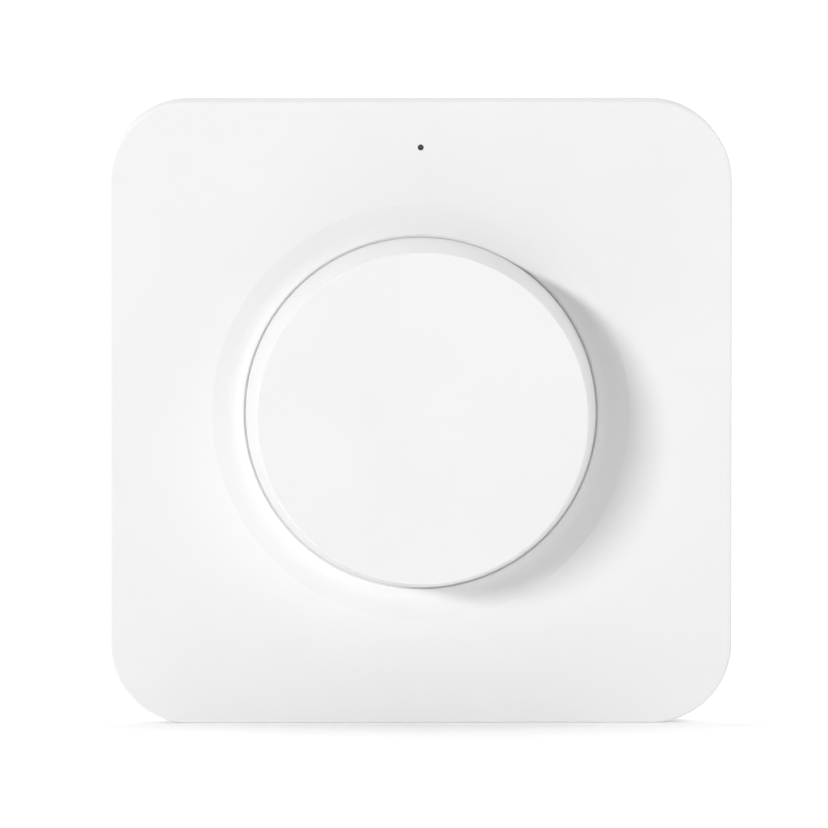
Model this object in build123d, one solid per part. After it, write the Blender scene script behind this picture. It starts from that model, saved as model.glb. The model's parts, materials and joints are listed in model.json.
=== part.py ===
from build123d import *
import math
import os

# A wireless wall dimmer: a wall plate, a module that its magnets hold there, and a dial that turns
# and pushes. It is modelled lying on its back, with X to the right, Y up the wall and Z out of the
# wall. The origin is the centre of the face that meets the wall. stand() then turns each piece
# upright, so that Z is up and the dial faces -Y. All sizes are millimetres and degrees.

# Front cover
PLATE_SIDE = 86.0
PLATE_CORNER_R = 11.0
PLATE_EDGE_R = 0.35
WALL = 2.0
RIM_GAP = 0.6
NOTCH_WIDTH = 14.0
NOTCH_RISE = 1.6
WELL_WALL = 1.6
WELL_FLOOR = 1.4
MOUTH_STEP = 0.24
MOUTH_DEPTH = 0.3
MOAT_LAND = 0.25
MOAT_WIDTH = 4.1
MOAT_BANK = 2.2
MOAT_BANK_DROP = 0.48
MOAT_LIP_DROP = 0.25
BOSS_R = 2.6
BOSS_INSET = 7.0
BOSS_RIB = 1.0
FACE_RIB_RISE = 1.0
BOARD_POST_R = 1.5
BOARD_POST_Y = 18.0

# Indicator
INDICATOR_INSET = 6.35
PINHOLE_R = 0.42
PINHOLE_SKIN = 0.8
PIPE_R = 1.2
PIPE_FIT = 0.05
PIPE_SUNK = 0.2
PIPE_GAP = 0.15
SOCKET_WALL = 0.95
SOCKET_RISE = 0.5
LED_LENGTH = 1.6
LED_WIDTH = 1.2
LED_BASE = 0.35
LED_LENS_R = 0.5
LED_LENS_RISE = 0.3

# Dial
DIAL_R = 24.2
DIAL_TOP_R = 22.84
DIAL_PROUD = 14.0
DIAL_SUNK = 0.9
DIAL_GAP = 0.035
DIAL_EDGE_R = 0.2
DIAL_WALL = 1.8
DIAL_FRONT = 1.9
DIAL_CLEAR = 0.4
DIAL_RIBS = 12
DIAL_RIB_THICK = 0.9
DIAL_RIB_RISE = 3.0
DIAL_RIB_REACH = 3.6
PRESS_TRAVEL = 0.5
HUB_R = 5.4
HUB_CLEAR = 0.3
HUB_FLANGE_R = 16.0
HUB_FLANGE = 1.6
HUB_RIB_THICK = 1.0
HUB_RIB_RISE = 2.0
HUB_WINDOW_SPAN = 30.0
HUB_WINDOW_ANGLE = 18.0
HUB_WINDOW_MARGIN = 2.6
STAKES = 3
STAKE_R = 1.2
STAKE_AT = 12.6
STAKE_HEAD_R = 2.0
STAKE_HEAD = 0.7
STAKE_FIT = 0.15

# Wall plate
WALL_PLATE_THICK = 2.6
WALL_PLATE_FIT = 0.5
WALL_PLATE_EDGE = 0.5
PAD_SIDE_MARGIN = 18.5
PAD_END_MARGIN = 10.5
PAD_CORNER_R = 3.0
PAD_THICK = 0.8
PAD_PROUD = 0.4
PAD_FIT = 0.3
SLOT_INSET = 12.85
SLOT_R = 2.1
SLOT_LENGTH = 9.0
SLOT_SEAT = 1.2
SCREW_POCKET_R = 4.6
STEEL_R = 5.0
STEEL_THICK = 1.0
STEEL_FIT = 0.1
INDEX_R = 2.0
INDEX_RISE = 1.0
INDEX_X = 16.0
INDEX_INSET = 7.5
INDEX_FIT = 0.3

# Rear cover
REAR_THICK = 1.8
REAR_FIT = 0.4
DIMPLE_DEPTH = 0.9
MAGNET_SETBACK = 7.0
MAGNET_R = 4.0
MAGNET_THICK = 2.0
MAGNET_INSET = 0.2
MAGNET_FIT = 0.1
CUP_WALL = 1.2
CUP_FLOOR = 0.8
CASE_SCREW_R = 1.0
CASE_SCREW_LENGTH = 6.0
CASE_HEAD_R = 2.1
CASE_HEAD = 1.1
CASE_HEAD_INSET = 0.1
CASE_FIT = 0.1
CASE_TIP = 0.6
CROSS_LENGTH = 2.4
CROSS_WIDTH = 0.55
CROSS_DEPTH = 0.5

# Battery and its door
CELL_R = 10.0
CELL_THICK = 3.2
CELL_EDGE_R = 0.4
CELL_CAP_R = 8.7
CELL_CAP_RISE = 0.45
CELL_PLAY = 0.2
CELL_MARGIN = 1.6
DOOR_INSET = 0.2
DOOR_THICK = 1.2
DOOR_RING_FIT = 0.5
DOOR_RING = 1.1
DOOR_FIT = 0.3
DOOR_FLANGE = 1.0
DOOR_LEDGE = 0.8
DOOR_PLAY = 0.1
DOOR_TURN = 30.0
LUGS = 3
LUG_REACH = 1.3
LUG_THICK = 0.8
LUG_SPAN = 26.0
LUG_MARGIN = 2.0
TRACK_WALL = 1.2
TRACK_RISE = 0.2
COIN_SLOT_LENGTH = 15.0
COIN_SLOT_WIDTH = 1.8
COIN_SLOT_DEPTH = 0.6
HOLDER_FIT = 0.3
HOLDER_WALL = 1.7
HOLDER_CLEAR = 0.4
HOLDER_PEG_R = 0.7
CONTACT_ROOM = 0.4
CONTACT_THICK = 0.2
CONTACT_FIT = 0.5
CONTACT_GAP = 0.05
CONTACT_TAIL = 2.2
POSITIVE_WIDTH = 5.0
NEGATIVE_WIDTH = 4.0
NEGATIVE_REACH = 5.0
DIMPLE_R = 1.1
DIMPLE_TIP_R = 0.6
DIMPLE_STEP = 3.0

# Circuit board
BOARD_THICK = 1.0
BOARD_ROOM = 0.6
BOARD_MARGIN = 2.5
BOARD_BOSS_GAP = 0.9
SOLDER_FIT = 0.2
RADIO_WIDTH = 12.0
RADIO_LENGTH = 16.0
RADIO_THICK = 0.8
RADIO_Y = 22.0
SHIELD_SIDE = 10.4
SHIELD_RISE = 1.5
SHIELD_EDGE_R = 0.3
SHIELD_DROP = 2.2
CHIP_LENGTH = 1.6
CHIP_WIDTH = 0.8
CHIP_RISE = 0.7
CHIP_STEP = 3.2
CHIP_ROWS = 3
CHIP_COLUMNS = 4
CHIP_X = -22.0
CHIP_Y = 8.0

# Rotary encoder with a push switch
ENCODER_SIDE = 11.6
ENCODER_CORNER_R = 0.6
ENCODER_FLOOR = 0.4
DOME_R = 2.5
DOME_RISE = 0.6
DOME_THICK = 0.12
DOME_GAP = 0.03
PLUNGER_R = 2.5
PLUNGER_THICK = 0.6
PLUNGER_CLEAR = 0.1
RUN_CLEAR = 0.3
ROTOR_R = 4.6
ROTOR_THICK = 0.9
ROTOR_GAP = 0.2
ROTOR_NOTCHES = 20
ROTOR_NOTCH_R = 0.3
COLLAR_R = 3.8
COLLAR_THICK = 0.35
COLLAR_PLAY = 0.05
COLLAR_CLEAR = 0.1
SHAFT_R = 3.0
SHAFT_FLAT = 1.5
SHAFT_FIT = 0.05
SHAFT_END_GAP = 0.3
SHAFT_CHAMFER = 0.3
TAIL_R = 2.2
TAIL_FLAT = 1.4
BUSHING_R = 3.5
BUSHING_FLANGE = 0.6
BUSHING_RISE = 5.0
FRAME_THICK = 0.5
FRAME_FIT = 0.05
FRAME_LIFT = 0.3
LEG_WIDTH = 2.2
LEG_REACH = 1.2
PIN_Y = 7.0
PIN_PITCH = 2.5
PIN_WIDTH = 0.8
PIN_THICK = 0.4
PIN_LIFT = 0.6
PIN_REACH = 1.0
APERTURE_CLEAR = 0.8

# Heights above the wall, from the wall outwards
plate_back = PAD_PROUD
plate_front = plate_back + WALL_PLATE_THICK
rear_back = plate_front
rear_inner = rear_back + REAR_THICK
door_back = rear_back + DOOR_INSET
door_inner = door_back + DOOR_THICK
door_ledge = rear_inner - DOOR_LEDGE
lug_back = rear_inner + DOOR_PLAY
lug_front = lug_back + LUG_THICK
cell_back = door_inner + CELL_PLAY
cell_front = cell_back + CELL_THICK
board_back = cell_front + CONTACT_ROOM
board_front = board_back + BOARD_THICK
floor_back = board_front + BOARD_ROOM
floor_front = floor_back + WELL_FLOOR
dial_rim = floor_front + PRESS_TRAVEL + DIAL_CLEAR
face = dial_rim + DIAL_SUNK
face_inner = face - WALL
lip = face - MOAT_LIP_DROP
dial_top = face + DIAL_PROUD
cap_inner = dial_top - DIAL_FRONT

dome_back = board_front + ENCODER_FLOOR
plunger_back = dome_back + DOME_RISE
tail_end = plunger_back + PLUNGER_THICK
rotor_floor = tail_end + PLUNGER_CLEAR
rotor_back = rotor_floor + ROTOR_GAP
rotor_front = rotor_back + ROTOR_THICK
collar_back = rotor_front + PRESS_TRAVEL + COLLAR_CLEAR
collar_front = collar_back + COLLAR_THICK
bushing_back = collar_front + COLLAR_PLAY
frame_back = bushing_back + BUSHING_FLANGE
frame_front = frame_back + FRAME_THICK
bushing_front = frame_back + BUSHING_RISE
hub_back = bushing_front + PRESS_TRAVEL + HUB_CLEAR
hub_flange_back = cap_inner - HUB_FLANGE
shaft_end = cap_inner - SHAFT_END_GAP

# Places across the face
cavity_side = PLATE_SIDE - 2 * WALL
cavity_corner_r = PLATE_CORNER_R - WALL
boss_at = cavity_side / 2 - BOSS_INSET
magnet_at = boss_at - MAGNET_SETBACK
slot_at = PLATE_SIDE / 2 - SLOT_INSET
screw_pocket_length = SLOT_LENGTH + 2 * (SCREW_POCKET_R - SLOT_R)
wall_plate_side = cavity_side - 2 * WALL_PLATE_FIT
pad_width = wall_plate_side - 2 * PAD_SIDE_MARGIN
pad_height = wall_plate_side - 2 * PAD_END_MARGIN
index_y = wall_plate_side / 2 - INDEX_INSET
indicator_y = PLATE_SIDE / 2 - INDICATOR_INSET
well_r = DIAL_R + DIAL_GAP
mouth_r = well_r + MOUTH_STEP
cup_r = well_r + WELL_WALL
frame_half = ENCODER_SIDE / 2 + FRAME_FIT + FRAME_THICK
aperture_r = math.hypot(frame_half, ENCODER_SIDE / 2) + APERTURE_CLEAR
holder_inner_r = CELL_R + HOLDER_FIT
holder_outer_r = holder_inner_r + HOLDER_WALL
cell_y = -(PIN_Y + PIN_THICK / 2 + holder_outer_r + CELL_MARGIN)
door_ring_r = CELL_R + DOOR_RING_FIT
door_neck_r = door_ring_r + DOOR_RING
hatch_r = door_neck_r + DOOR_FIT
lug_r = door_neck_r + LUG_REACH
track_r = lug_r + DOOR_FIT
flange_r = door_neck_r + DOOR_FLANGE
board_half = cavity_side / 2 - BOARD_MARGIN
board_chamfer = 2 * (board_half - boss_at) + math.sqrt(2) * (BOSS_R + BOARD_BOSS_GAP)
case_seat = rear_back + CASE_HEAD_INSET + CASE_HEAD
led_front = board_front + LED_BASE + LED_LENS_RISE
pinhole_back = face - PINHOLE_SKIN
corners = [(x, y) for x in (-1, 1) for y in (-1, 1)]


def slab(outline, low, high):
    """A flat outline, thickened from one height to another."""
    return extrude(Pos(0, 0, low) * outline, amount=high - low)


def disc(radius, low, high, x=0.0, y=0.0):
    return slab(Pos(x, y) * Circle(radius), low, high)


def block(width, length, low, high, x=0.0, y=0.0):
    return slab(Pos(x, y) * Rectangle(width, length), low, high)


def rounded(side, corner_r):
    return RectangleRounded(side, side, corner_r)


def ring_sector(inner_r, outer_r, middle, span, low, high):
    """A slice of a ring, centred on the angle middle."""
    start = middle - span / 2
    outer = CenterArc((0, 0), outer_r, start, span)
    inner = CenterArc((0, 0), inner_r, start, span)
    outline = make_face([outer, Line(outer @ 1, inner @ 1), inner, Line(inner @ 0, outer @ 0)])
    return slab(outline, low, high)


def turned(*points):
    """A solid of revolution about the dial's axis, from (radius, height) points."""
    return revolve(Plane.XZ * make_face(Polyline(*points, close=True)), Axis.Z)


def d_outline(radius, flat):
    """A circle with one flat, which faces up the wall."""
    cut = Pos(0, flat + radius) * Rectangle(2 * radius, 2 * radius)
    return Circle(radius) - cut


def front_edges(solid):
    return solid.faces().sort_by(Axis.Z)[-1].edges()


def moat():
    """The dished ring in the face: a straight outer bank, then a bed that curves up to the well's lip."""
    inner = mouth_r + MOAT_LAND
    outer = inner + MOAT_WIDTH
    bank = Line((outer, face), (outer - MOAT_BANK, face - MOAT_BANK_DROP))
    bed = TangentArc(bank @ 1, (inner, lip), tangent=bank % 1)
    above = face + WALL
    lid = Polyline((inner, lip), (0, lip), (0, above), (outer, above), (outer, face))
    return revolve(Plane.XZ * make_face([bank, bed, *lid.edges()]), Axis.Z)


def front_cover():
    cover = slab(rounded(PLATE_SIDE, PLATE_CORNER_R), RIM_GAP, face)
    cover = fillet(front_edges(cover), PLATE_EDGE_R)
    cover -= slab(rounded(cavity_side, cavity_corner_r), RIM_GAP, face_inner)
    cover += front_cover_inside()
    cover += disc(cup_r, floor_back, face_inner)
    cover -= disc(well_r, floor_front, face)
    cover -= disc(mouth_r, lip - MOUTH_DEPTH, lip)
    cover -= disc(aperture_r, floor_back, floor_front)
    cover -= moat()
    cover -= disc(PIPE_R + PIPE_FIT, floor_back, pinhole_back, y=indicator_y)
    cover -= disc(PINHOLE_R, pinhole_back, face, y=indicator_y)
    notch_depth = PLATE_SIDE / 2 - cavity_side / 2
    notch_y = -(PLATE_SIDE - notch_depth) / 2
    cover -= block(NOTCH_WIDTH, notch_depth, RIM_GAP, RIM_GAP + NOTCH_RISE, y=notch_y)
    return cover


def front_cover_inside():
    """Screw bosses with their ribs, board rests, face ribs and the light pipe's socket."""
    inside = disc(PIPE_R + PIPE_FIT + SOCKET_WALL, face_inner - SOCKET_RISE, face_inner, y=indicator_y)
    rib_reach = cavity_side / 2 - boss_at
    rib_middle = boss_at + rib_reach / 2
    pilot = CASE_SCREW_R + CASE_FIT
    for sx, sy in corners:
        x, y = sx * boss_at, sy * boss_at
        inside += disc(BOSS_R, rear_inner, face_inner, x, y)
        inside += block(rib_reach, BOSS_RIB, board_back, face_inner, sx * rib_middle, y)
        inside += block(BOSS_RIB, rib_reach, board_back, face_inner, x, sy * rib_middle)
        inside -= disc(pilot, rear_inner, face_inner, x, y)
        inside += disc(BOARD_POST_R, board_front, face_inner, x, sy * BOARD_POST_Y)
    rib_start = well_r + WELL_WALL / 2
    face_rib = cavity_side / 2 - rib_start
    rib_at = rib_start + face_rib / 2
    low = face_inner - FACE_RIB_RISE
    inside += block(BOSS_RIB, face_rib, low, face_inner, y=-rib_at)
    for side in (-1, 1):
        inside += block(face_rib, BOSS_RIB, low, face_inner, x=side * rib_at)
    return inside


def light_pipe():
    pipe = disc(PIPE_R, led_front + PIPE_GAP, pinhole_back, y=indicator_y)
    return pipe + disc(PINHOLE_R - PIPE_FIT, pinhole_back, face - PIPE_SUNK, y=indicator_y)


def indicator_led():
    led = block(LED_LENGTH, LED_WIDTH, board_front, board_front + LED_BASE, y=indicator_y)
    return led + disc(LED_LENS_R, board_front + LED_BASE, led_front, y=indicator_y)


def dial_cap():
    cap = turned(
        (0, cap_inner),
        (DIAL_TOP_R - DIAL_WALL, cap_inner),
        (DIAL_R - DIAL_WALL, dial_rim),
        (DIAL_R, dial_rim),
        (DIAL_R, face),
        (DIAL_TOP_R, dial_top),
        (0, dial_top),
    )
    cap = fillet(front_edges(cap), DIAL_EDGE_R)
    rib_at = DIAL_TOP_R - DIAL_WALL / 2 - DIAL_RIB_REACH / 2
    rib = block(DIAL_RIB_REACH, DIAL_RIB_THICK, cap_inner - DIAL_RIB_RISE, cap_inner, rib_at)
    cap += PolarLocations(0, DIAL_RIBS) * rib
    stake = disc(STAKE_R, hub_flange_back, cap_inner, STAKE_AT)
    stake += disc(STAKE_HEAD_R, hub_flange_back - STAKE_HEAD, hub_flange_back, STAKE_AT)
    return cap + PolarLocations(0, STAKES) * stake


def dial_hub():
    hub = disc(HUB_R, hub_back, cap_inner) + disc(HUB_FLANGE_R, hub_flange_back, cap_inner)
    rib_reach = HUB_FLANGE_R - HUB_WINDOW_MARGIN
    rib = block(rib_reach, HUB_RIB_THICK, hub_flange_back - HUB_RIB_RISE, hub_flange_back, rib_reach / 2)
    step = 360 / STAKES
    hub += PolarLocations(0, STAKES, start_angle=step / 2) * rib
    hole = disc(STAKE_R + STAKE_FIT, hub_flange_back, cap_inner, STAKE_AT)
    hub -= PolarLocations(0, STAKES) * hole
    inner = HUB_R + HUB_WINDOW_MARGIN
    outer = HUB_FLANGE_R - HUB_WINDOW_MARGIN
    for side in (-1, 1):
        middle = step / 2 + side * HUB_WINDOW_ANGLE
        window = ring_sector(inner, outer, middle, HUB_WINDOW_SPAN, hub_flange_back, cap_inner)
        hub -= PolarLocations(0, STAKES) * window
    return hub - slab(d_outline(SHAFT_R + SHAFT_FIT, SHAFT_FLAT + SHAFT_FIT), hub_back, cap_inner)


def wall_plate():
    plate = slab(rounded(wall_plate_side, cavity_corner_r - WALL_PLATE_FIT), plate_back, plate_front)
    plate = chamfer(front_edges(plate), WALL_PLATE_EDGE)
    recess = RectangleRounded(pad_width + 2 * PAD_FIT, pad_height + 2 * PAD_FIT, PAD_CORNER_R + PAD_FIT)
    plate -= slab(recess, plate_back, PAD_THICK)
    for side in (-1, 1):
        at = Pos(side * slot_at, 0)
        plate -= slab(at * SlotOverall(SLOT_LENGTH, 2 * SLOT_R), plate_back, plate_front)
        pocket = at * SlotOverall(screw_pocket_length, 2 * SCREW_POCKET_R)
        plate -= slab(pocket, plate_back + SLOT_SEAT, plate_front)
        plate += disc(INDEX_R, plate_front, plate_front + INDEX_RISE, side * INDEX_X, index_y)
    for x, y in magnet_places():
        plate -= disc(STEEL_R + STEEL_FIT, plate_front - STEEL_THICK, plate_front, x, y)
    return plate


def magnet_places():
    return [(x * magnet_at, y * magnet_at) for x, y in corners]


def adhesive_pad():
    return slab(RectangleRounded(pad_width, pad_height, PAD_CORNER_R), 0, PAD_THICK)


def steel_discs():
    return [disc(STEEL_R, plate_front - STEEL_THICK, plate_front, x, y) for x, y in magnet_places()]


def magnets():
    low = rear_back + MAGNET_INSET
    return [disc(MAGNET_R, low, low + MAGNET_THICK, x, y) for x, y in magnet_places()]


def rear_cover():
    cover = slab(rounded(cavity_side - 2 * REAR_FIT, cavity_corner_r - REAR_FIT), rear_back, rear_inner)
    pocket_end = rear_back + MAGNET_INSET + MAGNET_THICK
    pocket_r = MAGNET_R + MAGNET_FIT
    for x, y in magnet_places():
        cover += disc(pocket_r + CUP_WALL, rear_inner, pocket_end + CUP_FLOOR, x, y)
        cover -= disc(pocket_r, rear_back, pocket_end, x, y)
    for sx, sy in corners:
        x, y = sx * boss_at, sy * boss_at
        cover -= disc(CASE_SCREW_R + CASE_FIT, rear_back, rear_inner, x, y)
        cover -= disc(CASE_HEAD_R + CASE_FIT, rear_back, case_seat, x, y)
        cover += disc(BOARD_POST_R, rear_inner, board_back, x, sy * BOARD_POST_Y)
    for side in (-1, 1):
        dimple = Pos(side * slot_at, 0) * SlotOverall(screw_pocket_length, 2 * SCREW_POCKET_R)
        cover -= slab(dimple, rear_back, rear_back + DIMPLE_DEPTH)
        index_r = INDEX_R + INDEX_FIT
        index_end = rear_back + INDEX_RISE + INDEX_FIT
        cover -= disc(index_r, rear_back, index_end, side * INDEX_X, index_y)
    return battery_opening(cover)


def battery_opening(cover):
    """Cuts the bayonet opening for the battery door, with its entry notches, track and stops."""
    track_end = lug_front + TRACK_RISE
    opening = disc(hatch_r, rear_back, rear_inner) + disc(flange_r + DOOR_FIT, rear_back, door_ledge)
    track = disc(track_r + TRACK_WALL, rear_inner, track_end) - disc(track_r, rear_inner, track_end)
    step = 360 / LUGS
    notch_span = LUG_SPAN + 2 * LUG_MARGIN
    stop_span = step - DOOR_TURN - notch_span
    stop_middle = -DOOR_TURN - notch_span / 2 - stop_span / 2
    for index in range(LUGS):
        turn = index * step
        opening += ring_sector(door_neck_r, track_r, turn - DOOR_TURN, notch_span, rear_back, rear_inner)
        stop = ring_sector(hatch_r, track_r, turn + stop_middle, stop_span, rear_inner, track_end)
        track += stop
    at = Pos(0, cell_y)
    return cover - at * opening + at * track


def case_screws():
    return [Pos(x * boss_at, y * boss_at) * case_screw() for x, y in corners]


def case_screw():
    tip = case_seat + CASE_SCREW_LENGTH
    head_back = case_seat - CASE_HEAD
    screw = turned(
        (0, head_back),
        (CASE_HEAD_R, head_back),
        (CASE_HEAD_R, case_seat),
        (CASE_SCREW_R, case_seat),
        (CASE_SCREW_R, tip - CASE_TIP),
        (CASE_SCREW_R - CASE_TIP, tip),
        (0, tip),
    )
    cross = block(CROSS_LENGTH, CROSS_WIDTH, head_back, head_back + CROSS_DEPTH)
    return screw - cross - Rot(0, 0, 90) * cross


def battery_door():
    door = disc(door_neck_r, door_back, door_inner) + disc(flange_r, door_back, door_ledge - DOOR_PLAY)
    door += disc(door_neck_r, door_inner, lug_front) - disc(door_ring_r, door_inner, lug_front)
    lug = ring_sector(door_ring_r, lug_r, 0, LUG_SPAN, lug_back, lug_front)
    door += PolarLocations(0, LUGS) * lug
    coin_slot = slab(SlotOverall(COIN_SLOT_LENGTH, COIN_SLOT_WIDTH), door_back, door_back + COIN_SLOT_DEPTH)
    return Pos(0, cell_y) * (door - coin_slot)


def coin_cell():
    cap_back = cell_front - CELL_CAP_RISE
    cell = disc(CELL_R, cell_back, cap_back)
    cell = fillet(cell.edges().filter_by(GeomType.CIRCLE), CELL_EDGE_R)
    return Pos(0, cell_y) * (cell + disc(CELL_CAP_R, cap_back, cell_front))


def battery_holder():
    low = lug_front + HOLDER_CLEAR
    holder = disc(holder_outer_r, low, board_back) - disc(holder_inner_r, low, board_back)
    middle_r = (holder_inner_r + holder_outer_r) / 2
    holder -= block(
        HOLDER_WALL * 2, POSITIVE_WIDTH + 2 * CONTACT_FIT, low, board_back, middle_r
    )
    tail_high = board_back - CONTACT_THICK - CONTACT_FIT
    holder -= block(NEGATIVE_WIDTH + 2 * CONTACT_FIT, HOLDER_WALL * 2, tail_high, board_back, y=-middle_r)
    for x, y in peg_places():
        holder += disc(HOLDER_PEG_R, board_back, board_front, x, y)
    return Pos(0, cell_y) * holder


def peg_places():
    """Two pegs on the holder's ring, across its middle."""
    reach = (holder_inner_r + holder_outer_r) / 2 / math.sqrt(2)
    return [(-reach, reach), (-reach, -reach)]


def positive_contact():
    inner = CELL_R + CONTACT_GAP
    foot_end = holder_outer_r + CONTACT_TAIL
    outline = Polyline(
        (inner, cell_back + CELL_THICK / 2),
        (inner + CONTACT_THICK, cell_back + CELL_THICK / 2),
        (inner + CONTACT_THICK, board_back - CONTACT_THICK),
        (foot_end, board_back - CONTACT_THICK),
        (foot_end, board_back),
        (inner, board_back),
        close=True,
    )
    strip = extrude(Plane.XZ * make_face(outline), amount=POSITIVE_WIDTH / 2, both=True)
    return Pos(0, cell_y) * strip


def negative_contact():
    low = board_back - CONTACT_THICK
    tail = holder_outer_r + CONTACT_TAIL
    length = NEGATIVE_REACH + tail
    strip = block(NEGATIVE_WIDTH, length, low, board_back, y=(NEGATIVE_REACH - tail) / 2)
    bump = turned((0, cell_front), (DIMPLE_TIP_R, cell_front), (DIMPLE_R, low), (0, low))
    for side in (-1, 1):
        strip += Pos(0, side * DIMPLE_STEP) * bump
    return Pos(0, cell_y) * strip


def circuit_board():
    outline = Rectangle(2 * board_half, 2 * board_half)
    board = slab(chamfer(outline.vertices(), board_chamfer), board_back, board_front)
    for x, y in pin_places():
        board -= disc(PIN_WIDTH / 2 + SOLDER_FIT, board_back, board_front, x, y)
    for side in (-1, 1):
        at = side * (frame_half - FRAME_THICK / 2)
        board -= block(
            FRAME_THICK + 2 * SOLDER_FIT, LEG_WIDTH + 2 * SOLDER_FIT, board_back, board_front, at
        )
    for x, y in peg_places():
        board -= disc(HOLDER_PEG_R + SOLDER_FIT, board_back, board_front, x, y + cell_y)
    return board


def radio_board():
    return block(RADIO_WIDTH, RADIO_LENGTH, board_back - RADIO_THICK, board_back, y=RADIO_Y)


def radio_shield():
    high = board_back - RADIO_THICK
    can = block(SHIELD_SIDE, SHIELD_SIDE, high - SHIELD_RISE, high, y=RADIO_Y - SHIELD_DROP)
    return fillet(can.faces().sort_by(Axis.Z)[0].edges(), SHIELD_EDGE_R)


def chip_parts():
    places = GridLocations(CHIP_STEP, CHIP_STEP, CHIP_COLUMNS, CHIP_ROWS)
    chip = block(CHIP_LENGTH, CHIP_WIDTH, board_back - CHIP_RISE, board_back)
    return [Pos(CHIP_X, CHIP_Y) * place * chip for place in places]


def encoder_base():
    base = slab(rounded(ENCODER_SIDE, ENCODER_CORNER_R), board_front, bushing_back)
    base -= disc(ROTOR_R + RUN_CLEAR, rotor_floor, bushing_back)
    return base - disc(PLUNGER_R + RUN_CLEAR, dome_back, rotor_floor)


def encoder_bushing():
    bushing = slab(rounded(ENCODER_SIDE, ENCODER_CORNER_R), bushing_back, frame_back)
    bushing += disc(BUSHING_R, frame_back, bushing_front)
    return bushing - disc(SHAFT_R + SHAFT_FIT, bushing_back, bushing_front)


def encoder_frame():
    """A sheet folded down on two sides, each with a leg through the board."""
    low = board_front + FRAME_LIFT
    outside = Pos(0, (low + frame_front) / 2) * Rectangle(2 * frame_half, frame_front - low)
    folds = outside.vertices().group_by(Axis.Y)[-1]
    inner = frame_half - FRAME_THICK
    inside = Pos(0, (low + frame_back) / 2) * Rectangle(2 * inner, frame_back - low)
    channel = fillet(folds, FRAME_THICK) - inside
    frame = extrude(Plane.XZ * channel, amount=ENCODER_SIDE / 2, both=True)
    frame -= disc(BUSHING_R + FRAME_FIT, frame_back, frame_front)
    for side in (-1, 1):
        at = side * (frame_half - FRAME_THICK / 2)
        frame += block(FRAME_THICK, LEG_WIDTH, board_back - LEG_REACH, low, at)
    return frame


def pin_places():
    """Three pins below the shaft and two above it."""
    below = [(step * PIN_PITCH, -PIN_Y) for step in (-1, 0, 1)]
    above = [(step * PIN_PITCH, PIN_Y) for step in (-1, 1)]
    return below + above


def encoder_pins():
    pins = []
    for x, y in pin_places():
        out = math.copysign(1, y)
        high = board_front + PIN_LIFT
        end = PIN_Y + PIN_THICK / 2
        reach = end - ENCODER_SIDE / 2
        pin = block(PIN_WIDTH, reach, high - PIN_THICK, high, x, out * (end - reach / 2))
        pins.append(pin + block(PIN_WIDTH, PIN_THICK, board_back - PIN_REACH, high, x, y))
    return pins


def encoder_rotor():
    rotor = disc(ROTOR_R, rotor_back, rotor_front)
    notch = disc(ROTOR_NOTCH_R, rotor_back, rotor_front, ROTOR_R)
    rotor -= PolarLocations(0, ROTOR_NOTCHES) * notch
    return rotor - slab(d_outline(TAIL_R + SHAFT_FIT, TAIL_FLAT + SHAFT_FIT), rotor_back, rotor_front)


def encoder_shaft():
    shaft = disc(SHAFT_R, collar_front, shaft_end)
    shaft = chamfer(front_edges(shaft), SHAFT_CHAMFER)
    flat_back = hub_back - HUB_CLEAR
    flat = Pos(0, SHAFT_FLAT + SHAFT_R) * Rectangle(2 * SHAFT_R, 2 * SHAFT_R)
    shaft -= slab(flat, flat_back, shaft_end)
    shaft += disc(COLLAR_R, collar_back, collar_front)
    return shaft + slab(d_outline(TAIL_R, TAIL_FLAT), tail_end, collar_back)


def switch_plunger():
    return disc(PLUNGER_R, plunger_back, tail_end)


def switch_dome():
    """A thin spherical cap that stands on the base's floor and carries the plunger."""
    top = plunger_back - DOME_GAP
    over = dome_arc(DOME_R, top)
    under = dome_arc(DOME_R - DOME_THICK, top - DOME_THICK)
    crown = Line(over @ 1, under @ 1)
    foot = Line(under @ 0, over @ 0)
    return revolve(Plane.XZ * make_face([over, crown, under, foot]), Axis.Z)


def dome_arc(reach, top):
    """From the dome's foot at that reach, up to its crown."""
    rise = top - dome_back
    sphere_r = (reach**2 + rise**2) / (2 * rise)
    middle = (reach / 2, top - sphere_r + math.sqrt(sphere_r**2 - reach**2 / 4))
    return ThreePointArc((reach, dome_back), middle, (0, top))


def stand(piece):
    """Turns a piece from lying on its back to upright on the wall."""
    if isinstance(piece, list):
        return Compound(children=[Plane.XZ * single for single in piece])
    return Plane.XZ * piece


nodes = [
    adhesive_pad, wall_plate, steel_discs, front_cover, rear_cover, case_screws, magnets, battery_door,
    coin_cell, battery_holder, positive_contact, negative_contact, circuit_board, radio_board,
    radio_shield, chip_parts, indicator_led, light_pipe, encoder_base, encoder_frame, encoder_bushing,
    encoder_pins, encoder_rotor, encoder_shaft, switch_plunger, switch_dome, dial_cap, dial_hub,
]

os.makedirs("parts", exist_ok=True)
for node in nodes:
    export_step(stand(node()), f"parts/{node.__name__}.step")
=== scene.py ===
"""Dresses the wall dimmer for its product picture: materials, floor, light and camera.

Metres, +Z up, the dial faces -Y. The part stands on a white table, as the photograph shows it.
"""
import json
import math

import bpy
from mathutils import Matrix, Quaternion, Vector


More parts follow.
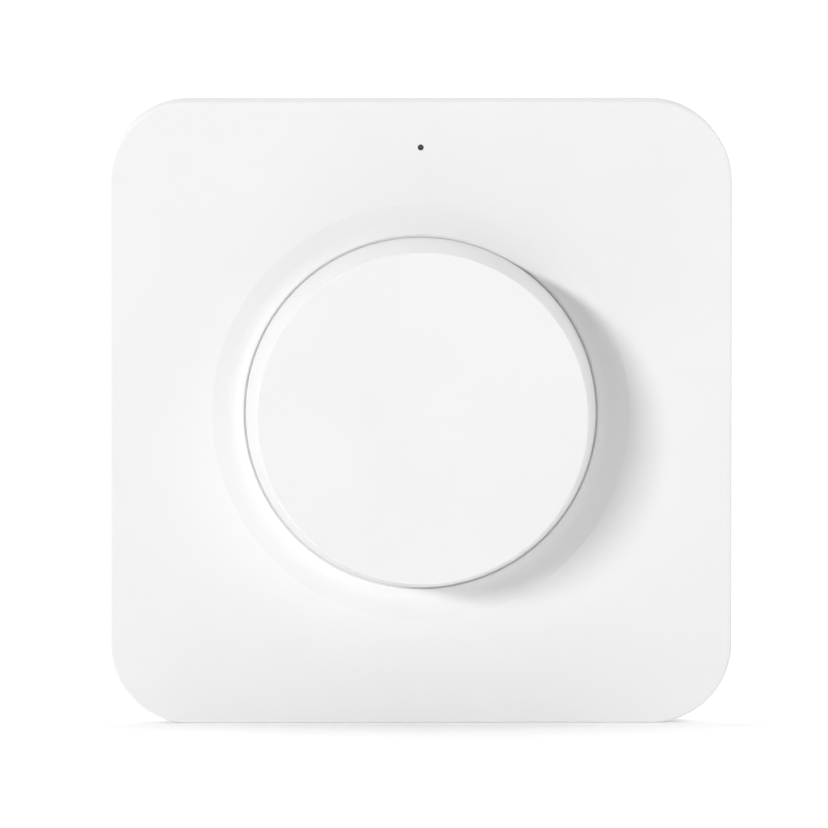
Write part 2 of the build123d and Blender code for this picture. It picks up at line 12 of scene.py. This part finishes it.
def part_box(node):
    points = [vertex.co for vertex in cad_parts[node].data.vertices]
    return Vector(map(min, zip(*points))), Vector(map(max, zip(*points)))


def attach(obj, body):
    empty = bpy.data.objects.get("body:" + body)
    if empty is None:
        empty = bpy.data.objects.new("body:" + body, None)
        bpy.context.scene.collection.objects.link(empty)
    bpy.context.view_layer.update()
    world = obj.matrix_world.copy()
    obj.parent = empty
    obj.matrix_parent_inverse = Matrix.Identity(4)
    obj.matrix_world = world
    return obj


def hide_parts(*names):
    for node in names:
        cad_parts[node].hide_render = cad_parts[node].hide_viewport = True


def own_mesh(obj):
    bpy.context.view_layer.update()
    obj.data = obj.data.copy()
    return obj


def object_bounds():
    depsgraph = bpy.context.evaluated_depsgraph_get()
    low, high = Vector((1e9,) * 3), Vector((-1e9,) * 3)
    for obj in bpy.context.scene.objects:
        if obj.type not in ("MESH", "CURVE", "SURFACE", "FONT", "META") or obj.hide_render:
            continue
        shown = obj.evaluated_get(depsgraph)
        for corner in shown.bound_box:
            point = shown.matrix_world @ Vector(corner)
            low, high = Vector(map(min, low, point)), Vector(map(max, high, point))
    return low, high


MM = 0.001
WHITE = (1, 1, 1, 1)

# Camera: it looks slightly down at the dial, from a little left of its axis
VIEW_DISTANCE = 2.5
VIEW_ELEVATION = math.radians(3.56)
VIEW_AZIMUTH = math.radians(-1.0)
VIEW_END = 100.0
PIXELS_PER_MM = 7.24
FRAME_PIXELS = 828
SENSOR = 36.0
AIM = (-0.93 * MM, -0.2 * MM)

# Light: a white tent that is open round the camera and brightest overhead, and one long key light
# at the left. The tent's zones are set by how far a direction points to the back.
TENT_FRONT = 0.06
TENT_DIMMEST = 0.39
TENT_BRIGHTEST = 1.64
TENT_BRIGHT_SIDE = (0.225, 0.0, 0.974)
TENT_BACK = 0.9
FRONT_TO_SIDES = (-0.6, -0.3)
SIDES_TO_BACK = (-0.05, 0.2)
KEY_DIRECTION = (-0.515, -0.838, 0.177)
KEY_DISTANCE = 6.0
KEY_SIZE = (1.89, 0.36)
KEY_ROLL = math.radians(-25)
KEY_POWER = 170.0

# Floor: a white table whose surface glows as painted light, a little in front and more so behind
# the part's face. The glow leaves out an oval round the part's foot, so that its contact shadow
# stays: real shade, plus painted shade where the missing glow leaves the oval darker than the
# floor round it.
FLOOR_SIDE = 40.0
FLOOR_SHADES = ((0.975, 0.975, 0.975), (0.985, 0.985, 0.985))
FLOOR_CLOUD = 0.4
FLOOR_ROUGHNESS = 0.9
GLOW_FRONT = 0.085
GLOW_BACK = 0.35
GLOW_RISE = (-16 * MM, -4 * MM)
FOOT_OVAL = (46 * MM, 42 * MM)
FOOT_EDGE = (0.6, 1.2)

# Most of a noise texture's values lie between these two
NOISE_LOW = 0.3
NOISE_HIGH = 0.7

# Plastics: the size of the flow in the colour, and how far the grain moves the roughness
FLOW_SIZE = 26 * MM
PLASTIC_GRAIN_CONTRAST = 0.6
PLASTIC_ROUGHNESS_SWING = 0.05
PLASTIC_SPECULAR = 0.25

# Metals: the size and depth of the clouding, and how far the grain moves the roughness
METAL_CLOUD = 3 * MM
METAL_SHADE = 0.86
METAL_GRAIN_CONTRAST = 0.65
METAL_ROUGHNESS_SWING = (-0.08, 0.1)

# Lacquered and polished skins
GLOSS_ROUGHNESS_SWING = (-0.03, 0.05)
GLOSS_DEPTH = 0.004 * MM
COAT_WEIGHT = 0.4
COAT_ROUGHNESS = 0.08

# Foam tape under its paper liner
FOAM_SHADES = ((0.52, 0.52, 0.5), (0.7, 0.7, 0.675))
FOAM_CELL = 0.45 * MM
FOAM_CELL_EDGE = (0.05, 0.45)
FOAM_CELL_DEPTH = 0.03 * MM
FOAM_SAG = 9 * MM
FOAM_ROUGHNESS = (0.72, 0.9)

# Solder mask over copper runs
MASK_SHADES = ((0.012, 0.11, 0.045, 1), (0.016, 0.13, 0.05, 1))
RUN_COLOUR = (0.03, 0.2, 0.075, 1)
RUN_PITCH = 2.4 * MM
RUN_WIDTH = 0.06
RUN_HEIGHT = 0.02 * MM
MASK_CLOUD = 2 * MM
MASK_ROUGHNESS = (0.2, 0.35)
ACROSS_BOARD = (1.0, 0.0, 1.0)

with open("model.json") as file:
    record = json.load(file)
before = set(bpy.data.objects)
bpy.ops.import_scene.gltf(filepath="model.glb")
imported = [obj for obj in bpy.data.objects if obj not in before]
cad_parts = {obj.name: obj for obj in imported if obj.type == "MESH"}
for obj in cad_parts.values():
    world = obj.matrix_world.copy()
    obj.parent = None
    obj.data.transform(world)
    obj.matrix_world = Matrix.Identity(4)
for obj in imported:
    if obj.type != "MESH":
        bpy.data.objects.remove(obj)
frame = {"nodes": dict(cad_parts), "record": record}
nodes = frame["nodes"]
cad_low, cad_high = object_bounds()


def add_object(name, data):
    thing = bpy.data.objects.new(name, data)
    bpy.context.scene.collection.objects.link(thing)
    return thing


def new_material(name):
    """A material with its shader, and an object-space position to build patterns on."""
    material = bpy.data.materials.new(name)
    material.use_nodes = True
    tree = material.node_tree
    tree.nodes.clear()
    output = tree.nodes.new("ShaderNodeOutputMaterial")
    shader = tree.nodes.new("ShaderNodeBsdfPrincipled")
    tree.links.new(shader.outputs["BSDF"], output.inputs["Surface"])
    place = tree.nodes.new("ShaderNodeTexCoord")
    return material, tree, shader, place.outputs["Object"]


def stretched(tree, place, factors):
    """The position times a factor along each axis."""
    node = tree.nodes.new("ShaderNodeMapping")
    node.inputs["Scale"].default_value = factors
    tree.links.new(place, node.inputs["Vector"])
    return node.outputs["Vector"]


def noise(tree, place, size, detail=3.0, roughness=0.5):
    """Noise whose features are about that size, in metres."""
    node = tree.nodes.new("ShaderNodeTexNoise")
    node.inputs["Scale"].default_value = 1 / size
    node.inputs["Detail"].default_value = detail
    node.inputs["Roughness"].default_value = roughness
    tree.links.new(place, node.inputs["Vector"])
    return node.outputs["Fac"]


def cells(tree, place, size):
    """The distance from the middle of the nearest cell of about that size."""
    node = tree.nodes.new("ShaderNodeTexVoronoi")
    node.inputs["Scale"].default_value = 1 / size
    tree.links.new(place, node.inputs["Vector"])
    return node.outputs["Distance"]


def spread(tree, value, low, high, start=NOISE_LOW, end=NOISE_HIGH):
    """Maps start to end of a value onto low to high, which are numbers or sockets."""
    node = tree.nodes.new("ShaderNodeMapRange")
    node.inputs["From Min"].default_value = start
    node.inputs["From Max"].default_value = end
    for name, bound in (("To Min", low), ("To Max", high)):
        if isinstance(bound, float):
            node.inputs[name].default_value = bound
        else:
            tree.links.new(bound, node.inputs[name])
    tree.links.new(value, node.inputs["Value"])
    return node.outputs["Result"]


def split(tree, place):
    """The X, Y and Z of a position or direction."""
    node = tree.nodes.new("ShaderNodeSeparateXYZ")
    tree.links.new(place, node.inputs["Vector"])
    return node.outputs


def two_colours(tree, value, first, second, start=NOISE_LOW, end=NOISE_HIGH):
    """Maps start to end of a value onto the way from the first colour to the second."""
    node = tree.nodes.new("ShaderNodeValToRGB")
    ramp = node.color_ramp
    ramp.elements[0].position = start
    ramp.elements[0].color = (*first, 1)
    ramp.elements[1].position = end
    ramp.elements[1].color = (*second, 1)
    tree.links.new(value, node.inputs["Fac"])
    return node.outputs["Color"]


def bump(tree, shader, height, depth):
    """Bump of that depth, in metres."""
    node = tree.nodes.new("ShaderNodeBump")
    node.inputs["Strength"].default_value = 1.0
    node.inputs["Distance"].default_value = depth
    tree.links.new(height, node.inputs["Height"])
    tree.links.new(node.outputs["Normal"], shader.inputs["Normal"])


def moulded(name, colour, roughness, grain, depth, vary):
    """Injection-moulded plastic: a fine spark-eroded grain and a faint flow in its colour."""
    material, tree, shader, place = new_material(name)
    flow = noise(tree, place, FLOW_SIZE)
    light = tuple(min(1.0, c + vary) for c in colour)
    dark = tuple(c - vary for c in colour)
    tree.links.new(two_colours(tree, flow, dark, light), shader.inputs["Base Color"])
    fine = noise(tree, place, grain, roughness=PLASTIC_GRAIN_CONTRAST)
    smoothest = roughness - PLASTIC_ROUGHNESS_SWING
    roughest = roughness + PLASTIC_ROUGHNESS_SWING
    tree.links.new(spread(tree, fine, smoothest, roughest), shader.inputs["Roughness"])
    bump(tree, shader, fine, depth)
    shader.inputs["Specular IOR Level"].default_value = PLASTIC_SPECULAR
    return material


def metal(name, colour, roughness, along, grain, depth):
    """Metal with a grain that is drawn out along the axes whose factor is small."""
    material, tree, shader, place = new_material(name)
    lines = noise(tree, stretched(tree, place, along), grain, roughness=METAL_GRAIN_CONTRAST)
    cloud = noise(tree, place, METAL_CLOUD, detail=2.0)
    dark = tuple(c * METAL_SHADE for c in colour)
    tree.links.new(two_colours(tree, cloud, dark, colour), shader.inputs["Base Color"])
    smoothest, roughest = (roughness + swing for swing in METAL_ROUGHNESS_SWING)
    tree.links.new(spread(tree, lines, smoothest, roughest), shader.inputs["Roughness"])
    bump(tree, shader, lines, depth)
    shader.inputs["Metallic"].default_value = 1.0
    return material


def glossy(name, dark, light, roughness, size):
    """A lacquered or clear polished skin over a slightly uneven colour."""
    material, tree, shader, place = new_material(name)
    cloud = noise(tree, place, size)
    tree.links.new(two_colours(tree, cloud, dark, light), shader.inputs["Base Color"])
    smoothest, roughest = (roughness + swing for swing in GLOSS_ROUGHNESS_SWING)
    tree.links.new(spread(tree, cloud, smoothest, roughest), shader.inputs["Roughness"])
    bump(tree, shader, cloud, GLOSS_DEPTH)
    shader.inputs["Coat Weight"].default_value = COAT_WEIGHT
    shader.inputs["Coat Roughness"].default_value = COAT_ROUGHNESS
    return material


def foam_tape(name):
    """Closed-cell foam tape under a pale paper liner: tiny cells and a soft, uneven surface."""
    material, tree, shader, place = new_material(name)
    pores = cells(tree, place, FOAM_CELL)
    colour = two_colours(tree, pores, *FOAM_SHADES, *FOAM_CELL_EDGE)
    tree.links.new(colour, shader.inputs["Base Color"])
    sag = noise(tree, place, FOAM_SAG)
    tree.links.new(spread(tree, sag, *FOAM_ROUGHNESS), shader.inputs["Roughness"])
    bump(tree, shader, pores, FOAM_CELL_DEPTH)
    return material


def circuit_green(name):
    """Green solder mask with copper runs that show faintly through it."""
    material, tree, shader, place = new_material(name)
    runs = tree.nodes.new("ShaderNodeTexBrick")
    runs.inputs["Scale"].default_value = 1 / RUN_PITCH
    runs.inputs["Mortar Size"].default_value = RUN_WIDTH
    runs.inputs["Color1"].default_value, runs.inputs["Color2"].default_value = MASK_SHADES
    runs.inputs["Mortar"].default_value = RUN_COLOUR
    tree.links.new(stretched(tree, place, ACROSS_BOARD), runs.inputs["Vector"])
    tree.links.new(runs.outputs["Color"], shader.inputs["Base Color"])
    cloud = noise(tree, place, MASK_CLOUD)
    tree.links.new(spread(tree, cloud, *MASK_ROUGHNESS), shader.inputs["Roughness"])
    bump(tree, shader, runs.outputs["Fac"], RUN_HEIGHT)
    return material


materials = {
    "white_plastic": moulded(
        "white_plastic_look", colour=(0.83, 0.83, 0.83), roughness=0.5,
        grain=0.12 * MM, depth=0.0022 * MM, vary=0.012,
    ),
    "back_plastic": moulded(
        "back_plastic_look", colour=(0.74, 0.74, 0.73), roughness=0.55,
        grain=0.3 * MM, depth=0.012 * MM, vary=0.02,
    ),
    "inner_plastic": moulded(
        "inner_plastic_look", colour=(0.68, 0.68, 0.66), roughness=0.5,
        grain=0.3 * MM, depth=0.01 * MM, vary=0.02,
    ),
    "black_plastic": moulded(
        "black_plastic_look", colour=(0.03, 0.03, 0.031), roughness=0.5,
        grain=0.2 * MM, depth=0.01 * MM, vary=0.008,
    ),
    "smoked_lens": glossy(
        "smoked_lens_look", dark=(0.012, 0.012, 0.013), light=(0.03, 0.03, 0.032),
        roughness=0.15, size=0.4 * MM,
    ),
    "led_body": glossy(
        "led_body_look", dark=(0.62, 0.58, 0.32), light=(0.75, 0.7, 0.42),
        roughness=0.2, size=0.5 * MM,
    ),
    "board_green": circuit_green("board_green_look"),
    "foam_tape": foam_tape("foam_tape_look"),
    "plain_steel": metal(
        "plain_steel_look", colour=(0.56, 0.56, 0.57), roughness=0.34,
        along=(1.0, 1.0, 0.06), grain=0.25 * MM, depth=0.003 * MM,
    ),
    "spring_steel": metal(
        "spring_steel_look", colour=(0.6, 0.6, 0.6), roughness=0.28,
        along=(0.05, 1.0, 1.0), grain=0.2 * MM, depth=0.002 * MM,
    ),
    "nickel": metal(
        "nickel_look", colour=(0.68, 0.66, 0.62), roughness=0.22,
        along=(1.0, 1.0, 1.0), grain=0.4 * MM, depth=0.002 * MM,
    ),
    "die_cast": metal(
        "die_cast_look", colour=(0.58, 0.58, 0.59), roughness=0.42,
        along=(1.0, 1.0, 1.0), grain=0.3 * MM, depth=0.006 * MM,
    ),
    "tinned_brass": metal(
        "tinned_brass_look", colour=(0.68, 0.66, 0.58), roughness=0.3,
        along=(1.0, 0.1, 1.0), grain=0.15 * MM, depth=0.003 * MM,
    ),
    "ceramic_chip": moulded(
        "ceramic_chip_look", colour=(0.33, 0.26, 0.18), roughness=0.55,
        grain=0.1 * MM, depth=0.004 * MM, vary=0.03,
    ),
}


def dress_nodes():
    """Every CAD node gets the material of its slot in the record."""
    for part in frame["record"]["subparts"]:
        for slot in nodes[part["node"]].material_slots:
            slot.material = materials[part["material_slot"]]


def make_dome():
    """A copy of the snap dome under the dial's switch, carried by the module in place of its CAD
    node.
    """
    dome = add_object("snap_dome", nodes["switch_dome"].data.copy())
    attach(dome, "module")
    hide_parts("switch_dome")
    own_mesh(dome)


def make_floor():
    half = FLOOR_SIDE / 2
    corners = ((-half, -half), (half, -half), (half, half), (-half, half))
    mesh = bpy.data.meshes.new("floor")
    mesh.from_pydata([(x, y, cad_low.z) for x, y in corners], [], [(0, 1, 2, 3)])
    floor = add_object("floor", mesh)
    material, tree, shader, place = new_material("floor_look")
    cloud = noise(tree, place, FLOOR_CLOUD, detail=2.0)
    tree.links.new(two_colours(tree, cloud, *FLOOR_SHADES), shader.inputs["Base Color"])
    shader.inputs["Roughness"].default_value = FLOOR_ROUGHNESS
    shader.inputs["Specular IOR Level"].default_value = 0.0
    # Painted light: the floor glows by its own emission, weakly in front and strongly behind the
    # face. It does not glow in the oval round the foot, which paints shade round the real contact
    # shadow.
    shader.inputs["Emission Color"].default_value = WHITE
    oval = stretched(tree, place, (1 / FOOT_OVAL[0], 1 / FOOT_OVAL[1], 0.0))
    near = tree.nodes.new("ShaderNodeVectorMath")
    near.operation = "LENGTH"
    tree.links.new(oval, near.inputs[0])
    glow = spread(tree, near.outputs["Value"], 0.0, GLOW_FRONT, *FOOT_EDGE)
    glow = spread(tree, split(tree, place)["Y"], glow, GLOW_BACK, *GLOW_RISE)
    tree.links.new(glow, shader.inputs["Emission Strength"])
    mesh.materials.append(material)


def make_tent():
    world = bpy.data.worlds.new("tent")
    world.use_nodes = True
    tree = world.node_tree
    background = tree.nodes["Background"]
    background.inputs["Color"].default_value = WHITE
    way = tree.nodes.new("ShaderNodeTexCoord").outputs["Generated"]
    lean = tree.nodes.new("ShaderNodeVectorMath")
    lean.operation = "DOT_PRODUCT"
    lean.inputs[1].default_value = TENT_BRIGHT_SIDE
    tree.links.new(way, lean.inputs[0])
    sides = spread(tree, lean.outputs["Value"], TENT_DIMMEST, TENT_BRIGHTEST, -1, 1)
    depth = split(tree, way)["Y"]
    strength = spread(tree, depth, TENT_FRONT, sides, *FRONT_TO_SIDES)
    strength = spread(tree, depth, strength, TENT_BACK, *SIDES_TO_BACK)
    tree.links.new(strength, background.inputs["Strength"])
    bpy.context.scene.world = world


def make_key_light():
    """A long softbox, far away and rolled a little about its own direction."""
    data = bpy.data.lights.new("key_softbox", "AREA")
    data.shape = "RECTANGLE"
    data.size, data.size_y = KEY_SIZE
    data.energy = KEY_POWER
    light = add_object("key_softbox", data)
    light.location = Vector(KEY_DIRECTION).normalized() * KEY_DISTANCE
    aim = (-light.location).to_track_quat("-Z", "Y")
    light.rotation_euler = (aim @ Quaternion((0, 0, 1), KEY_ROLL)).to_euler()


def make_camera():
    """The face's plane is in true scale where the camera's axis meets it."""
    face_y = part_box("front_cover")[0].y
    field = FRAME_PIXELS / PIXELS_PER_MM * MM
    back = Vector((
        math.sin(VIEW_AZIMUTH) * math.cos(VIEW_ELEVATION),
        -math.cos(VIEW_AZIMUTH) * math.cos(VIEW_ELEVATION),
        math.sin(VIEW_ELEVATION),
    ))
    data = bpy.data.cameras.new("camera")
    data.sensor_width = SENSOR
    data.lens = SENSOR * VIEW_DISTANCE / field
    data.clip_end = VIEW_END
    camera = add_object("camera", data)
    camera.location = Vector((AIM[0], face_y, AIM[1])) + back * VIEW_DISTANCE
    camera.rotation_euler = (-back).to_track_quat("-Z", "Y").to_euler()
    bpy.context.scene.camera = camera


def set_tones():
    """Plain tones, with no film look."""
    view = bpy.context.scene.view_settings
    view.view_transform = "Standard"
    view.look = "None"
    view.exposure = 0.0
    view.gamma = 1.0


dress_nodes()
make_dome()
make_floor()
make_tent()
make_key_light()
make_camera()
set_tones()
